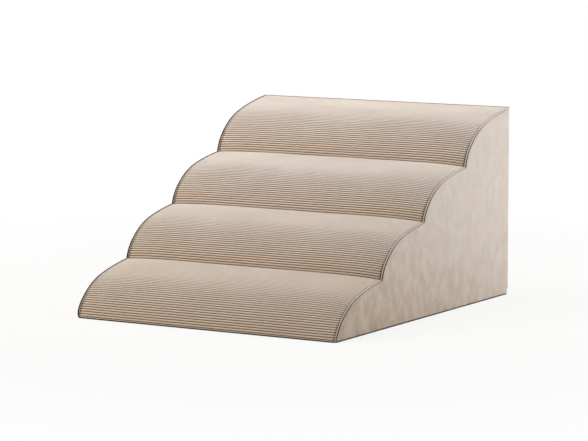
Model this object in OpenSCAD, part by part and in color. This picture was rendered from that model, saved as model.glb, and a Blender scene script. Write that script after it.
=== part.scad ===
// Four-step foam pet stairs in a fitted corduroy and plush cover with a zip at the back.
// Millimetres. X is the width, Y runs from the front foot (-) to the back (+), Z is up.
// The origin is on the floor under the centre of the footprint.

/* [Overall] */
// Width over the outer faces of the side piping
overall_w = 600; // [420:1:760]
// Depth from the front edge to the back
overall_d = 730; // [660:1:820]
// Height of the top step at the back
overall_h = 396; // [340:1:440]

/* [Steps] */
// The top step takes what the three below it leave of the overall depth and height.
// Depth of the lowest step over an even quarter of the overall depth
step_1_run_trim = -1.5; // [-15:0.5:15]
// Rise of the lowest step over an even quarter of the overall height
step_1_rise_trim = 1; // [-10:0.5:10]
// Depth of the second step over an even quarter
step_2_run_trim = -10.5; // [-15:0.5:15]
// Rise of the second step over an even quarter
step_2_rise_trim = -4; // [-10:0.5:10]
// Depth of the third step over an even quarter
step_3_run_trim = -3.5; // [-15:0.5:15]
// Rise of the third step over an even quarter
step_3_rise_trim = -5; // [-10:0.5:10]

/* [Step profile] */
// Steepness of the profile at the foot of a step, degrees from level
foot_heading = 77; // [72:0.5:82]
// Radius of the lower riser arc
riser_r = 80; // [65:1:95]
// Turn of the riser arc, degrees
riser_turn = 26.5; // [22:0.5:30]
// Radius of the nose arc
nose_r = 152; // [130:1:170]
// Turn of the nose arc, degrees
nose_turn = 33.5; // [30:0.5:37]
// Radius of the nearly flat tread arc
tread_r = 620; // [450:5:900]
// Largest gap between an arc and the flats that follow it
profile_sag = 0.05; // [0.03:0.01:0.08]
// How much higher the padding stands halfway between the side seams than at the seams
crown_h = 5.8; // [1:0.1:9]
// Length over which the crown dies out towards the front foot and the top back edge
crown_fade = 95; // [60:1:130]
// Length over which the crown leans away from the crease at either end of a step
crown_lean = 40; // [20:1:60]

/* [Cover] */
// Thickness of the corduroy panels over the rib crests
cord_t = 2.4; // [2:0.1:3.2]
// Spacing of the corduroy ribs along the profile
rib_pitch = 5.2; // [4.6:0.1:7]
// Depth of the grooves between the ribs
rib_depth = 1.2; // [0.6:0.1:1.5]
// Height of the plain hem along the front edge
front_hem = 2.8; // [2:0.1:5]
// Thickness of the plush side panels
side_t = 3; // [2:0.1:4]
// Step from the crown of the piping in to the side panel's face
side_inset = 0.8; // [0.3:0.1:1.2]
// Thickness of the back panels
back_t = 2; // [1.5:0.1:2.6]
// Diameter of the piping along the side seams
piping_d = 3.4; // [2.8:0.1:4]
// How far the piping stands out of the rib crests
piping_proud = 0.6; // [0.3:0.1:1]
// Free gap between sewn panels
seam_gap = 0.1; // [0.05:0.01:0.2]
// Free gap round the piping
piping_gap = 0.15; // [0.1:0.01:0.25]

/* [Padding] */
// Thickness of the wadding over the foam block, at the side seams
wadding_t = 5; // [3:0.5:12]

/* [Base] */
// Thickness of the non-slip base sheet
base_t = 2.2; // [1.6:0.1:3.5]
// Corner radius of the base sheet
base_corner_r = 9; // [4:0.5:20]
// Clearance between the base sheet and what stands on it
base_gap = 0.1; // [0.05:0.01:0.2]

/* [Zip chain] */
// Height of the zip's centre line above the floor
zip_h = 32; // [26:0.5:60]
// Distance from the ends of the zip tape to the side panels
zip_margin = 46; // [30:1:120]
// Spacing of the teeth along one tape
tooth_pitch = 4; // [3.8:0.1:4.6]
// Thickness of a tooth, through the tape
tooth_t = 2.6; // [2.2:0.1:2.8]
// Width of a tooth's body along the tape
tooth_body_w = 2.6; // [2:0.1:2.8]
// Width of a tooth's neck
tooth_neck_w = 1.3; // [1:0.1:1.5]
// Width of a tooth's head
tooth_head_w = 1.7; // [1.5:0.1:1.8]
// Reach of a tooth from the centre line out to its root
tooth_root = 3.4; // [3.2:0.1:3.6]
// Reach of a tooth's head past the centre line
tooth_lap = 0.9; // [0.6:0.1:1]
// Thickness of the zip tape
tape_t = 0.8; // [0.6:0.05:1]
// Width of one zip tape
tape_w = 15; // [12:0.5:20]
// Gap from the centre line to the edge of a tape
tape_edge = 1.6; // [1.5:0.05:1.8]
// Length of a stop at the ends of the chain
stop_l = 4; // [2.5:0.5:6]
// Gap between the slider and the edges of the back panels beside it
window_gap = 0.9; // [0.5:0.1:4]

/* [Zip slider] */
// Length of the slider body
slider_l = 15; // [13:0.5:18]
// Thickness of each slider plate
plate_t = 1.1; // [0.8:0.1:1.4]
// Thickness of the slider's side walls
slider_wall = 0.9; // [0.7:0.1:1.1]
// Width of the wedge that parts the teeth
wedge_w = 2.4; // [2:0.1:2.6]
// Free gap between the slider and the chain
slide_gap = 0.2; // [0.15:0.01:0.25]
// Free gap between the slider's rims and the tape
tape_gap = 0.1; // [0.08:0.01:0.15]
// Length of the pull tab from its hinge bar
pull_l = 25; // [18:0.5:34]
// Width of the pull tab
pull_w = 7; // [6:0.1:8.5]
// Thickness of the pull tab and diameter of its hinge bar
pull_t = 1.4; // [1.1:0.1:1.6]
// Free gap between the pull and the slider
bar_gap = 0.1; // [0.08:0.01:0.15]
// Length of the bridge that holds the pull
bridge_l = 7.8; // [7:0.1:8.6]
// Width of the bridge
bridge_w = 2.2; // [1.8:0.1:2.4]

/* [Hidden] */

cord_colour = [0.80, 0.73, 0.66];
plush_colour = [0.84, 0.79, 0.73];
piping_colour = [0.86, 0.80, 0.73];
foam_colour = [0.95, 0.93, 0.86];
wadding_colour = [0.96, 0.96, 0.95];
base_colour = [0.27, 0.24, 0.22];
tape_colour = [0.74, 0.68, 0.60];
metal_colour = [0.62, 0.60, 0.57];

// Steps, each with a tread panel of its own
steps = 4;
// The crown across the width: share of the half width, share of the crown's height
crown_shares = [[0.60, 1], [0.86, 0.66], [1, 0]];
// Shoulders of one rib between its grooves, as shares of the rib's pitch
rib_shares = [0.28, 0.72];
// Least room between a crease and the next flat, as a share of the rib pitch
flat_room_share = 1 / 3;
// Outline of a tooth's head and neck, as shares of the reach past the centre line
tooth_neck_share = 1 / 2;
tooth_cheek_share = 1 / 3;
tooth_chin_share = 2 / 3;
tooth_tip_share = 1 / 2;
// Corners and hole of the pull tab, as shares of its width
tab_round_share = 1 / 4;
tab_hole_share = 1 / 2;
// Where the slider's wedge begins and is widest: shares of the slider's length, from its middle
wedge_tip_share = 0.04;
wedge_wide_share = 0.2;
// Sides of the swept piping
piping_sides = 8;
// Flats in each corner of the base sheet
corner_flats = 6;
// Extra length of every cut past the face it opens
overrun = 1;

last = steps - 1;
function total(list, count) = count == 0 ? 0 : list[count - 1] + total(list, count - 1);
function with_rest(lower, whole) = concat(lower, [whole - total(lower, last)]);
run_trims = [step_1_run_trim, step_2_run_trim, step_3_run_trim];
rise_trims = [step_1_rise_trim, step_2_rise_trim, step_3_rise_trim];
runs = with_rest([for (trim = run_trims) overall_d / steps + trim], overall_d);
rises = with_rest([for (trim = rise_trims) overall_h / steps + trim], overall_h);

back_y = overall_d / 2;
floor_top = base_t + base_gap;
// Offsets of the wadding's top and the foam's top from the rib crests
wadding_top = -cord_t - seam_gap;
foam_top = wadding_top - wadding_t - seam_gap;

function turned(v, a) = [v[0] * cos(a) - v[1] * sin(a), v[0] * sin(a) + v[1] * cos(a)];
function outward(heading) = [-sin(heading), cos(heading)];
function degrees(length, radius) = length / radius * 180 / PI;
function arc_length(radius, turn) = radius * turn * PI / 180;
function flats(length, radius) = ceil(length / sqrt(8 * radius * profile_sag));

// The profile of a step is three tangent arcs, first drawn from a crease at zero.
nose_heading = foot_heading - riser_turn;
tread_heading = nose_heading - nose_turn;
riser_c = -riser_r * outward(foot_heading);
nose_c = riser_c + (riser_r - nose_r) * outward(nose_heading);
tread_c = nose_c + (nose_r - tread_r) * outward(tread_heading);
riser_len = arc_length(riser_r, riser_turn);
nose_len = arc_length(nose_r, nose_turn);

// The tread arc stops where the chord of the whole step is as long as the run and rise ask,
// and the three arcs then tilt together to end on the next crease.
function chord(i) = norm([runs[i], rises[i]]);
function end_heading(i) =
    atan2(tread_c[1], tread_c[0])
    - asin((pow(chord(i), 2) - pow(norm(tread_c), 2) - pow(tread_r, 2)) / (2 * norm(tread_c) * tread_r));
function arc_end(i) = tread_c + tread_r * outward(end_heading(i));
function tilt(i) = atan2(rises[i], runs[i]) - atan2(arc_end(i)[1], arc_end(i)[0]);
function crease(i) = [total(runs, i) - back_y, total(rises, i)];
function tread_len(i) = arc_length(tread_r, tread_heading - end_heading(i));
function step_len(i) = riser_len + nose_len + tread_len(i);

// Where arc length s on step i lies, and its outward normal
function heading_at(s) =
    s < riser_len ? foot_heading - degrees(s, riser_r) :
    s < riser_len + nose_len ? nose_heading - degrees(s - riser_len, nose_r) :
    tread_heading - degrees(s - riser_len - nose_len, tread_r);
function centre_at(s) = s < riser_len ? riser_c : s < riser_len + nose_len ? nose_c : tread_c;
function radius_at(s) = s < riser_len ? riser_r : s < riser_len + nose_len ? nose_r : tread_r;
function point_at(i, s) =
    crease(i) + turned(centre_at(s) + radius_at(s) * outward(heading_at(s)), tilt(i));
function normal_at(i, s) = outward(heading_at(s) + tilt(i));
function tangent_at(i, s) = -outward(heading_at(s) + tilt(i) + 90);

// Directions that keep an offset of the profile level at its foot, upright at its back end
// and on the line that halves each crease
function level_cut(i, s) = [-1 / sin(heading_at(s) + tilt(i)), 0];
function upright_cut(i, s) = [0, 1 / cos(heading_at(s) + tilt(i))];
function halved(a, b) = (a + b) / (1 + a * b);
function crease_cut(i) = halved(normal_at(i - 1, step_len(i - 1)), normal_at(i, 0));

// The padded crown swells the middle of every step. It dies out towards the front foot and
// the top back edge, which stay straight, and leans away from the creases, where two meet.
function eased(t) = let (u = min(max(t, 0), 1)) u * u * (3 - 2 * u);
function swell(i, s) =
    i == 0 ? eased((s - foot_s) / crown_fade) :
    i == last ? eased((top_s(seam_y) - s) / crown_fade) : 1;
function lean(i, s) =
    i > 0 && s < crown_lean ?
        (1 - s / crown_lean) * (crease_cut(i) * tangent_at(i, 0)) :
    i < last && s > step_len(i) - crown_lean ?
        (1 - (step_len(i) - s) / crown_lean) * (crease_cut(i + 1) * tangent_at(i, step_len(i))) :
        0;
function crown_at(x) = crown_h * lookup(abs(x) / tread_half, crown_shares);

// A station holds a point of the profile, the direction of a plain offset there, and how far
// and which way the crown moves it.
function station(i, s) =
    [point_at(i, s), normal_at(i, s), swell(i, s) * (normal_at(i, s) + lean(i, s) * tangent_at(i, s))];
function crease_station(i) = [crease(i), crease_cut(i), crease_cut(i)];

// Arc length at which the lowest step leaves the base, and the top step meets an upright face
foot_tilted = foot_heading + tilt(0);
foot_s = arc_length(riser_r, foot_tilted - acos(cos(foot_tilted) + floor_top / riser_r));
function top_s(y) =
    let (centre = crease(last) + turned(tread_c, tilt(last)))
    riser_len + nose_len
    + arc_length(tread_r, tread_heading + tilt(last) - asin((centre[0] - y) / tread_r));

// Stations of one step: flats short enough to follow each arc
function arc_stations(i) = concat(
    [for (k = [0 : flats(riser_len, riser_r) - 1]) k / flats(riser_len, riser_r) * riser_len],
    [for (k = [0 : flats(nose_len, nose_r) - 1]) riser_len + k / flats(nose_len, nose_r) * nose_len],
    [for (k = [0 : flats(tread_len(i), tread_r) - 1])
        riser_len + nose_len + k / flats(tread_len(i), tread_r) * tread_len(i)]
);
function inner_stations(i, from, to) =
    let (room = rib_pitch * flat_room_share)
    [for (s = arc_stations(i)) if (s > from + room && s < to - room) station(i, s)];
function step_end(i, end_y) = i == last ? top_s(end_y) : step_len(i);

// The whole stepped line, from the foot to the upright face at end_y
function rail(end_y) = concat(
    [foot_station()],
    inner_stations(0, foot_s + foot_room, step_len(0)),
    [for (i = [1 : last]) each concat(
        [crease_station(i)],
        inner_stations(i, 0, step_end(i, end_y))
    )],
    [back_station(end_y)]
);
// Length at the foot over which the deepest layer still lies below its level cut
foot_room = -foam_top / tan(foot_tilted);
function foot_station() = [point_at(0, foot_s), level_cut(0, foot_s), [0, 0]];
function back_station(end_y) =
    [point_at(last, top_s(end_y)), upright_cut(last, top_s(end_y)), [0, 0]];
function shifted(line, n) = [for (f = line) f[0] + n * f[1]];
function held_at(line, n) = [for (f = line) [f, n]];
function unswollen(line) = [for (f = line) [f[0], f[1], [0, 0]]];
function backwards(list) = [for (k = [len(list) - 1 : -1 : 0]) list[k]];

seam_y = back_y - back_t - seam_gap;
piping_r = piping_d / 2;
piping_x = overall_w / 2 - piping_r;
piping_n = piping_proud - piping_r;
tread_half = overall_w / 2 - piping_d - piping_gap;
side_out = overall_w / 2 - side_inset;
side_in = side_out - side_t;
side_drop = piping_d - piping_proud + piping_gap;
core_half = side_in - seam_gap;
crest_z = point_at(last, top_s(seam_y))[1];

// Turns a drawing in depth and height into a solid across the width
module across(width) {
    rotate([90, 0, 90])
        linear_extrude(height = width, center = true)
            children();
}

// Turns a drawing in width and height into a solid from the face at y towards the front
module back_slab(y, thickness) {
    translate([0, y, 0])
        rotate([90, 0, 0])
            linear_extrude(height = thickness)
                children();
}

// Faces between neighbouring rings of points that each have the same number of sides.
// From the side named turned_from on, the four corners are split along their other diagonal.
function ring_walls(rings, sides, turned_from) = [
    for (j = [0 : rings - 2], k = [0 : sides - 1])
        let (
            a = j * sides + k,
            b = j * sides + (k + 1) % sides,
            c = a + sides,
            d = b + sides
        )
        each k < turned_from ? [[a, b, d], [a, d, c]] : [[a, b, c], [b, d, c]]
];
function ring_end(rings, sides) = [for (k = [0 : sides - 1]) (rings - 1) * sides + k];

// Triangles that close an end of a crowned solid, as places in its ring, which runs along the
// outer line and back along the inner one. The ribs between two grooves are closed by
// themselves, and below them the two lines keep pace, by how far along and up each point is.
function climb(f) = f[0][0] * [1, 1];
function grooves(line) =
    let (deepest = min([for (f = line) f[1]]), end = len(line) - 1)
    [for (k = [0 : end]) if (k == 0 || k == end || line[k][1] == deepest) k];
function end_faces(outer, inner) =
    let (
        low = grooves(outer),
        low_climbs = [for (k = low) climb(outer[k])],
        inner_climbs = [for (f = inner) climb(f)],
        sides = len(outer) + len(inner)
    )
    concat(
        [for (g = [1 : len(low) - 1], k = [low[g - 1] + 1 : 1 : low[g] - 1]) [low[g - 1], k, k + 1]],
        [for (g = [1 : len(low) - 1])
            let (k = len([for (c = inner_climbs) if (c < low_climbs[g]) c]))
            [low[g - 1], low[g], sides - max(k, 1)]],
        [for (k = [1 : len(inner) - 1])
            let (g = len([for (c = low_climbs) if (c <= inner_climbs[k]) c]))
            [low[g - 1], sides - 1 - k, sides - k]]
    );

// Solid between an outer and an inner line, each a list of stations and their offsets, that
// swells with the crown across the width
module crowned(outer, inner, half_w) {
    bends = [for (share = crown_shares) if (share[0] < 1) share[0] * tread_half];
    sections = concat([-half_w], -backwards(bends), bends, [half_w]);
    outline = concat(outer, backwards(inner));
    sides = len(outline);
    points = [
        for (x = sections, f = outline)
            let (spot = f[0][0] + f[1] * f[0][1] + crown_at(x) * f[0][2])
            [x, spot[0], spot[1]]
    ];
    walls = ring_walls(len(sections), sides, len(outer));
    near_end = end_faces(outer, inner);
    far_end = [for (face = near_end) [for (k = face) k + (len(sections) - 1) * sides]];
    turned_end = [for (face = near_end) backwards(face)];
    polyhedron(points = points, faces = concat(walls, turned_end, far_end));
}

// Corduroy panels: one for each step, from crease to crease
function panel_from(i) = i == 0 ? foot_s : seam_gap;
function panel_to(i) = i == last ? top_s(seam_y) : step_len(i) - seam_gap;
function panel_start(i) =
    i == 0 ? foot_station() : [point_at(i, panel_from(i)), crease_cut(i), crease_cut(i)];
function panel_end(i) =
    i == last ? back_station(seam_y) :
    [point_at(i, panel_to(i)), crease_cut(i + 1), crease_cut(i + 1)];
function ribs_from(i) = i == 0 ? foot_s + front_hem : panel_from(i);
function rib_count(i) = round((panel_to(i) - ribs_from(i)) / rib_pitch);
function rib_step(i) = (panel_to(i) - ribs_from(i)) / rib_count(i);
function hem_line(i) = i == 0 ? [
    [panel_start(0), 0],
    [station(0, foot_s + front_hem - rib_depth / 2), 0],
    [station(0, foot_s + front_hem), -rib_depth]
] : [[panel_start(i), -rib_depth]];
function rib_station(i, k) = station(i, ribs_from(i) + k * rib_step(i));
function rib(i, k) = [for (share = rib_shares) [rib_station(i, k + share), 0]];
function ribbed_line(i) = concat(
    hem_line(i),
    rib(i, 0),
    [for (k = [1 : rib_count(i) - 1]) each concat([[rib_station(i, k), -rib_depth]], rib(i, k))],
    [[panel_end(i), -rib_depth]]
);
function panel_line(i) = concat(
    [panel_start(i)],
    inner_stations(i, panel_from(i), panel_to(i)),
    [panel_end(i)]
);

module tread_panel(i) {
    color(cord_colour)
        crowned(ribbed_line(i), held_at(panel_line(i), -cord_t), tread_half);
}

// Wadding between the cover and the foam: flat underneath, and swollen to the crown on top
module wadding_layer() {
    color(wadding_colour)
        crowned(
            held_at(rail(seam_y), wadding_top),
            held_at(unswollen(rail(seam_y)), wadding_top - wadding_t),
            core_half
        );
}

// Foam block cut to the stepped line, relieved at the back for the zip
module foam_core() {
    color(foam_colour)
        difference() {
            across(2 * core_half)
                polygon(concat(shifted(rail(seam_y), foam_top), [[seam_y, floor_top]]));
            zip_relief(tape_reach + tape_gap, tape_back + tape_gap);
            zip_relief(slider_half + slide_gap, slider_back + slide_gap);
        }
}

module zip_relief(half_height, depth) {
    translate([relief_x0, back_y - depth, zip_h - half_height])
        cube([relief_x1 - relief_x0, depth - back_t + overrun, 2 * half_height]);
}

module non_slip_base() {
    color(base_colour)
        linear_extrude(height = base_t)
            polygon(rounded_rectangle(side_out, back_y, base_corner_r));
}

function rounded_rectangle(half_w, half_d, r) = [
    for (corner = [0 : 3], k = [0 : corner_flats])
        let (
            a = 90 * (corner + k / corner_flats),
            sx = corner == 0 || corner == 3 ? 1 : -1,
            sy = corner < 2 ? 1 : -1
        )
        [sx * (half_w - r) + r * cos(a), sy * (half_d - r) + r * sin(a)]
];

// Plush side panel, which runs from the base up to the underside of the piping
module side_panel() {
    color(plush_colour)
        translate([(side_out + side_in) / 2, 0, 0])
            across(side_t)
                polygon(concat(shifted(rail(back_y), -side_drop), [[back_y, floor_top]]));
}

// Piping swept along the stepped line, with a mitred ring in each crease
module piping() {
    line = rail(back_y);
    rings = len(line);
    points = [
        for (f = line, k = [0 : piping_sides - 1])
            let (
                a = 360 * k / piping_sides,
                spot = f[0] + (piping_n + piping_r * sin(a)) * f[1]
            )
            [piping_x + piping_r * cos(a), spot[0], spot[1]]
    ];
    ends = [backwards(ring_end(1, piping_sides)), ring_end(rings, piping_sides)];
    color(piping_colour)
        polyhedron(points = points, faces = concat(ring_walls(rings, piping_sides, piping_sides), ends));
}

// Back of the cover: a panel above the zip and a hem below it, which meet past the zip's ends
module back_panel() {
    color(plush_colour)
        back_slab(back_y, back_t)
            polygon([
                [-core_half, crest_z], [core_half, crest_z],
                [core_half, zip_h + seam_gap / 2], [window_x1, zip_h + seam_gap / 2],
                [window_x1, zip_h + window_half], [window_x0, zip_h + window_half],
                [window_x0, zip_h + seam_gap / 2], [-core_half, zip_h + seam_gap / 2]
            ]);
}

module back_hem() {
    color(plush_colour)
        back_slab(back_y, back_t)
            polygon([
                [-core_half, floor_top], [core_half, floor_top],
                [core_half, zip_h - seam_gap / 2], [window_x1, zip_h - seam_gap / 2],
                [window_x1, zip_h - window_half], [window_x0, zip_h - window_half],
                [window_x0, zip_h - seam_gap / 2], [-core_half, zip_h - seam_gap / 2]
            ]);
}

// Zip: everything is placed from the middle of the tape's thickness and the centre line
zip_y = back_y - back_t - seam_gap - tape_t / 2;
half_pitch = tooth_pitch / 2;
wedge_tip = slider_l * wedge_tip_share;
wedge_wide = slider_l * wedge_wide_share;
tape_end = 2 * stop_l;
tape_x0 = zip_margin - core_half;
chain_x0 = tape_x0 + tape_end;
chain_room = core_half - zip_margin - tape_end - slider_l / 2 + wedge_tip - chain_x0;
tooth_count = floor((chain_room - half_pitch - tooth_body_w) / tooth_pitch) + 1;
chain_x1 = chain_x0 + (tooth_count - 1) * tooth_pitch + half_pitch + tooth_body_w;
first_tooth_x = chain_x0 + tooth_body_w / 2;
cavity_t = tooth_t + 2 * slide_gap;
slider_t = cavity_t + 2 * plate_t;
channel_rear = tooth_root + slide_gap;
channel_mouth = wedge_w / 2 + slide_gap + tooth_root + tooth_lap + slide_gap;
slider_rear_half = channel_rear + slider_wall;
slider_half = channel_mouth + slider_wall;
slider_x = chain_x1 + slide_gap - wedge_tip;
stop_x = slider_x + slider_l / 2 + slide_gap;
tape_reach = tape_edge + tape_w;
tape_back = back_y - zip_y + tape_t / 2;
slider_back = back_y - zip_y + slider_t / 2;
tape_x1 = stop_x + tape_end;
window_half = slider_half + window_gap;
window_x0 = chain_x0 - stop_l - 2 * slide_gap;
window_x1 = stop_x + stop_l + slide_gap;
relief_x0 = tape_x0 - slide_gap;
relief_x1 = tape_x1 + slide_gap;

// Places a drawing in width and height at the zip, as thick as asked and centred in the tape
module at_zip(thickness) {
    translate([0, zip_y, zip_h])
        rotate([90, 0, 0])
            linear_extrude(height = thickness, center = true)
                children();
}

module zip_tape() {
    color(tape_colour)
        at_zip(tape_t)
            translate([tape_x0, tape_edge])
                square([tape_x1 - tape_x0, tape_w]);
}

// Slot that a tooth or stop has for the edge of the tape
module tape_slot() {
    at_zip(tape_t + 2 * tape_gap)
        translate([tape_x0 - overrun, tape_edge - tape_gap])
            square([tape_x1 - tape_x0 + 2 * overrun, tape_w]);
}

module tooth_outline() {
    body = tooth_body_w / 2;
    neck = tooth_neck_w / 2;
    head = tooth_head_w / 2;
    shoulder = tape_edge - tape_gap;
    slope = (body - neck) / 2;
    polygon([
        [-body, tooth_root], [-body, shoulder], [-neck, shoulder - slope],
        [-neck, tooth_lap * tooth_neck_share], [-head, tooth_lap * tooth_cheek_share],
        [-head, -tooth_lap * tooth_chin_share], [-head * tooth_tip_share, -tooth_lap],
        [head * tooth_tip_share, -tooth_lap], [head, -tooth_lap * tooth_chin_share],
        [head, tooth_lap * tooth_cheek_share], [neck, tooth_lap * tooth_neck_share],
        [neck, shoulder - slope], [body, shoulder], [body, tooth_root]
    ]);
}

module zip_teeth(first_x) {
    color(tape_colour)
        difference() {
            at_zip(tooth_t)
                for (k = [0 : tooth_count - 1])
                    translate([first_x + k * tooth_pitch, 0])
                        tooth_outline();
            tape_slot();
        }
}

module lower_half() {
    translate([0, 0, 2 * zip_h])
        mirror([0, 0, 1])
            children();
}

module top_stop() {
    difference() {
        at_zip(tooth_t)
            translate([stop_x, tape_gap])
                square([stop_l, tooth_root - tape_gap]);
        tape_slot();
    }
}

module zip_top_stops() {
    color(metal_colour) {
        top_stop();
        lower_half() top_stop();
    }
}

module zip_bottom_stop() {
    color(metal_colour)
        difference() {
            at_zip(tooth_t)
                translate([chain_x0 - slide_gap - stop_l, -tooth_root])
                    square([stop_l, 2 * tooth_root]);
            tape_slot();
            lower_half() tape_slot();
        }
}

// Slider: two plates with a channel for the closed chain at the rear and two at the mouth
module slider_outline() {
    rear = -slider_l / 2;
    mouth = slider_l / 2;
    round_off = slider_wall;
    half = [
        [rear, slider_rear_half - round_off], [rear + round_off, slider_rear_half],
        [wedge_tip, slider_rear_half], [wedge_wide, slider_half],
        [mouth - round_off, slider_half], [mouth, slider_half - round_off]
    ];
    polygon(concat(half, backwards([for (p = half) [p[0], -p[1]]])));
}

module slider_channel() {
    rear = -slider_l / 2 - overrun;
    mouth = slider_l / 2 + overrun;
    half = [
        [rear, channel_rear], [wedge_tip, channel_rear],
        [wedge_wide, channel_mouth], [mouth, channel_mouth]
    ];
    polygon(concat(half, backwards([for (p = half) [p[0], -p[1]]])));
}

module wedge_outline() {
    mouth = slider_l / 2;
    polygon([
        [wedge_tip, 0], [wedge_wide, wedge_w / 2], [mouth, wedge_w / 2 - slide_gap],
        [mouth, slide_gap - wedge_w / 2], [wedge_wide, -wedge_w / 2]
    ]);
}

plate_top = zip_y + slider_t / 2;
bridge_inside = bar_gap + pull_t + slide_gap;
bar_y = plate_top + bar_gap + pull_t / 2;

module bridge() {
    half = bridge_l / 2;
    open = half - plate_t;
    sink = plate_t / 2;
    translate([slider_x, plate_top, zip_h])
        linear_extrude(height = bridge_w, center = true)
            polygon([
                [-half, -sink], [-half, bridge_inside], [-open, bridge_inside + plate_t],
                [open, bridge_inside + plate_t], [half, bridge_inside], [half, -sink],
                [open, -sink], [open, bridge_inside], [-open, bridge_inside], [-open, -sink]
            ]);
}

module zip_slider() {
    color(metal_colour) {
        difference() {
            translate([slider_x, 0, 0]) at_zip(slider_t) slider_outline();
            translate([slider_x, 0, 0]) at_zip(cavity_t) slider_channel();
            translate([slider_x, 0, 0])
                at_zip(tape_t + 2 * tape_gap)
                    square([slider_l + 2 * overrun, 2 * (slider_half + overrun)], center = true);
        }
        translate([slider_x, 0, 0]) at_zip(cavity_t + plate_t) wedge_outline();
        bridge();
    }
}

// Pull: a flat tab whose hinge bar lies under the bridge
arm_in = bridge_w / 2 + 2 * slide_gap;
arm_out = pull_w / 2;
arm_w = arm_out - arm_in;
eye_l = bridge_l / 2 + pull_t;
module zip_pull() {
    tab_round = pull_w * tab_round_share;
    color(metal_colour)
        translate([slider_x, bar_y, zip_h]) {
            cylinder(d = pull_t, h = 2 * arm_out, center = true, $fn = 48);
            rotate([90, 0, 0])
                linear_extrude(height = pull_t, center = true)
                    for (side = [1, -1])
                        translate([-eye_l, side > 0 ? arm_in : -arm_out])
                            square([eye_l, arm_w]);
            difference() {
                rotate([90, 0, 0])
                    linear_extrude(height = pull_t, center = true)
                        polygon([
                            [-eye_l, arm_out], [-eye_l, -arm_out],
                            [tab_round - pull_l, -arm_out], [-pull_l, tab_round - arm_out],
                            [-pull_l, arm_out - tab_round], [tab_round - pull_l, arm_out]
                        ]);
                translate([arm_out - pull_l, 0, 0])
                    rotate([90, 0, 0])
                        cylinder(
                            d = pull_w * tab_hole_share, h = pull_t + 2 * overrun,
                            center = true, $fn = 48
                        );
            }
        }
}

foam_core();
wadding_layer();
non_slip_base();
tread_panel(0);  // tread_panel_1
tread_panel(1);  // tread_panel_2
tread_panel(2);  // tread_panel_3
tread_panel(3);  // tread_panel_4
mirror([1, 0, 0]) side_panel();  // side_panel_left
side_panel();  // side_panel_right
mirror([1, 0, 0]) piping();  // piping_left
piping();  // piping_right
back_panel();
back_hem();
zip_tape();  // zip_tape_upper
lower_half() zip_tape();  // zip_tape_lower
zip_teeth(first_tooth_x);  // zip_teeth_upper
lower_half() zip_teeth(first_tooth_x + half_pitch);  // zip_teeth_lower
zip_top_stops();
zip_bottom_stop();
zip_slider();
zip_pull();
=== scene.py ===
"""Four-step foam pet stairs: the finish of every surface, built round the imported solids.

Metres, in the frame of the solids: X is the width, Y runs from the front foot to the back, Z is up.
"""
import math

import bmesh
import bpy
import numpy as np
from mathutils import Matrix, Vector

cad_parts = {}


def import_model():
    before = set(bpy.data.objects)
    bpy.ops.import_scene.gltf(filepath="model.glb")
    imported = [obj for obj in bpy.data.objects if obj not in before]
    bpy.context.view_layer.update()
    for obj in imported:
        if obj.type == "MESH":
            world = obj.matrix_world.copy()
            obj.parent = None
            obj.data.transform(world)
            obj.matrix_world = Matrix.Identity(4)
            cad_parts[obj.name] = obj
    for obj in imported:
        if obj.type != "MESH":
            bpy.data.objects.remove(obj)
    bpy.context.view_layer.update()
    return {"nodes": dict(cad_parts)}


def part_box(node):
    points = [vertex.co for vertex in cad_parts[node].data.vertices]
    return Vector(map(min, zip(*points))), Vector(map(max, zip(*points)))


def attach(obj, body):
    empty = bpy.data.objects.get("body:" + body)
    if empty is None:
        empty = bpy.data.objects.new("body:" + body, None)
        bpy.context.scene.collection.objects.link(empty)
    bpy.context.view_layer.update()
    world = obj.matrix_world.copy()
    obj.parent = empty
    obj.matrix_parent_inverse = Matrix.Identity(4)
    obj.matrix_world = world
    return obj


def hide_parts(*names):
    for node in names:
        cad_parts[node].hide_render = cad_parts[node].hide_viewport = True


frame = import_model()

MM = 0.001
X_AXIS = np.array([1.0, 0, 0])
Y_AXIS = np.array([0, 1.0, 0])
Z_AXIS = np.array([0, 0, 1.0])
SIDES = (("right", 1), ("left", -1))

# Sizes of the steps, as the solids have them: three arcs each, with the heading each starts at
STEP_RUNS = np.array([181, 172, 179, 198]) * MM
STEP_RISES = np.array([100, 95, 94, 107]) * MM
STEPS = len(STEP_RUNS)
LAST = STEPS - 1
BACK_Y = STEP_RUNS.sum() / 2
RISER_R = 80 * MM
NOSE_R = 152 * MM
TREAD_R = 620 * MM
FOOT_HEADING = math.radians(77)
NOSE_HEADING = FOOT_HEADING - math.radians(26.5)
TREAD_HEADING = NOSE_HEADING - math.radians(33.5)

# Faces of the solids that the finish keeps to
OUTER_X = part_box("piping_right")[1].x
TREAD_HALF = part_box("tread_panel_1")[1].x
SIDE_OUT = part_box("side_panel_right")[1].x
SIDE_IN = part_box("side_panel_right")[0].x
CORE_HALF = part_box("foam_core")[1].x
BASE_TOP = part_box("non_slip_base")[1].z
FLOOR_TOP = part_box("side_panel_right")[0].z
SEAM_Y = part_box("foam_core")[1].y
CREST_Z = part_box("back_panel")[1].z

# Layers from the rib crests inwards, and the crown of the padding
CORD_T = 2.4 * MM
WADDING_TOP = -2.5 * MM
WADDING_T = 5 * MM
LAYER_GAP = 0.1 * MM
FOAM_TOP = WADDING_TOP - WADDING_T - LAYER_GAP
CROWN_H = 5.8 * MM
CROWN_FADE = 95 * MM
CROWN_LEAN = 40 * MM
CROWN_POWER = 7
# Length over which the thickness of a layer leans to the cut at the end of a step
THICKNESS_LEAN = 9 * MM


# The stepped side line


def outward(heading):
    """Unit normals, to the outside, of a line that climbs at these headings."""
    return np.stack([-np.sin(heading), np.cos(heading)], -1)


def along(heading):
    return np.stack([np.cos(heading), np.sin(heading)], -1)


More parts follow.
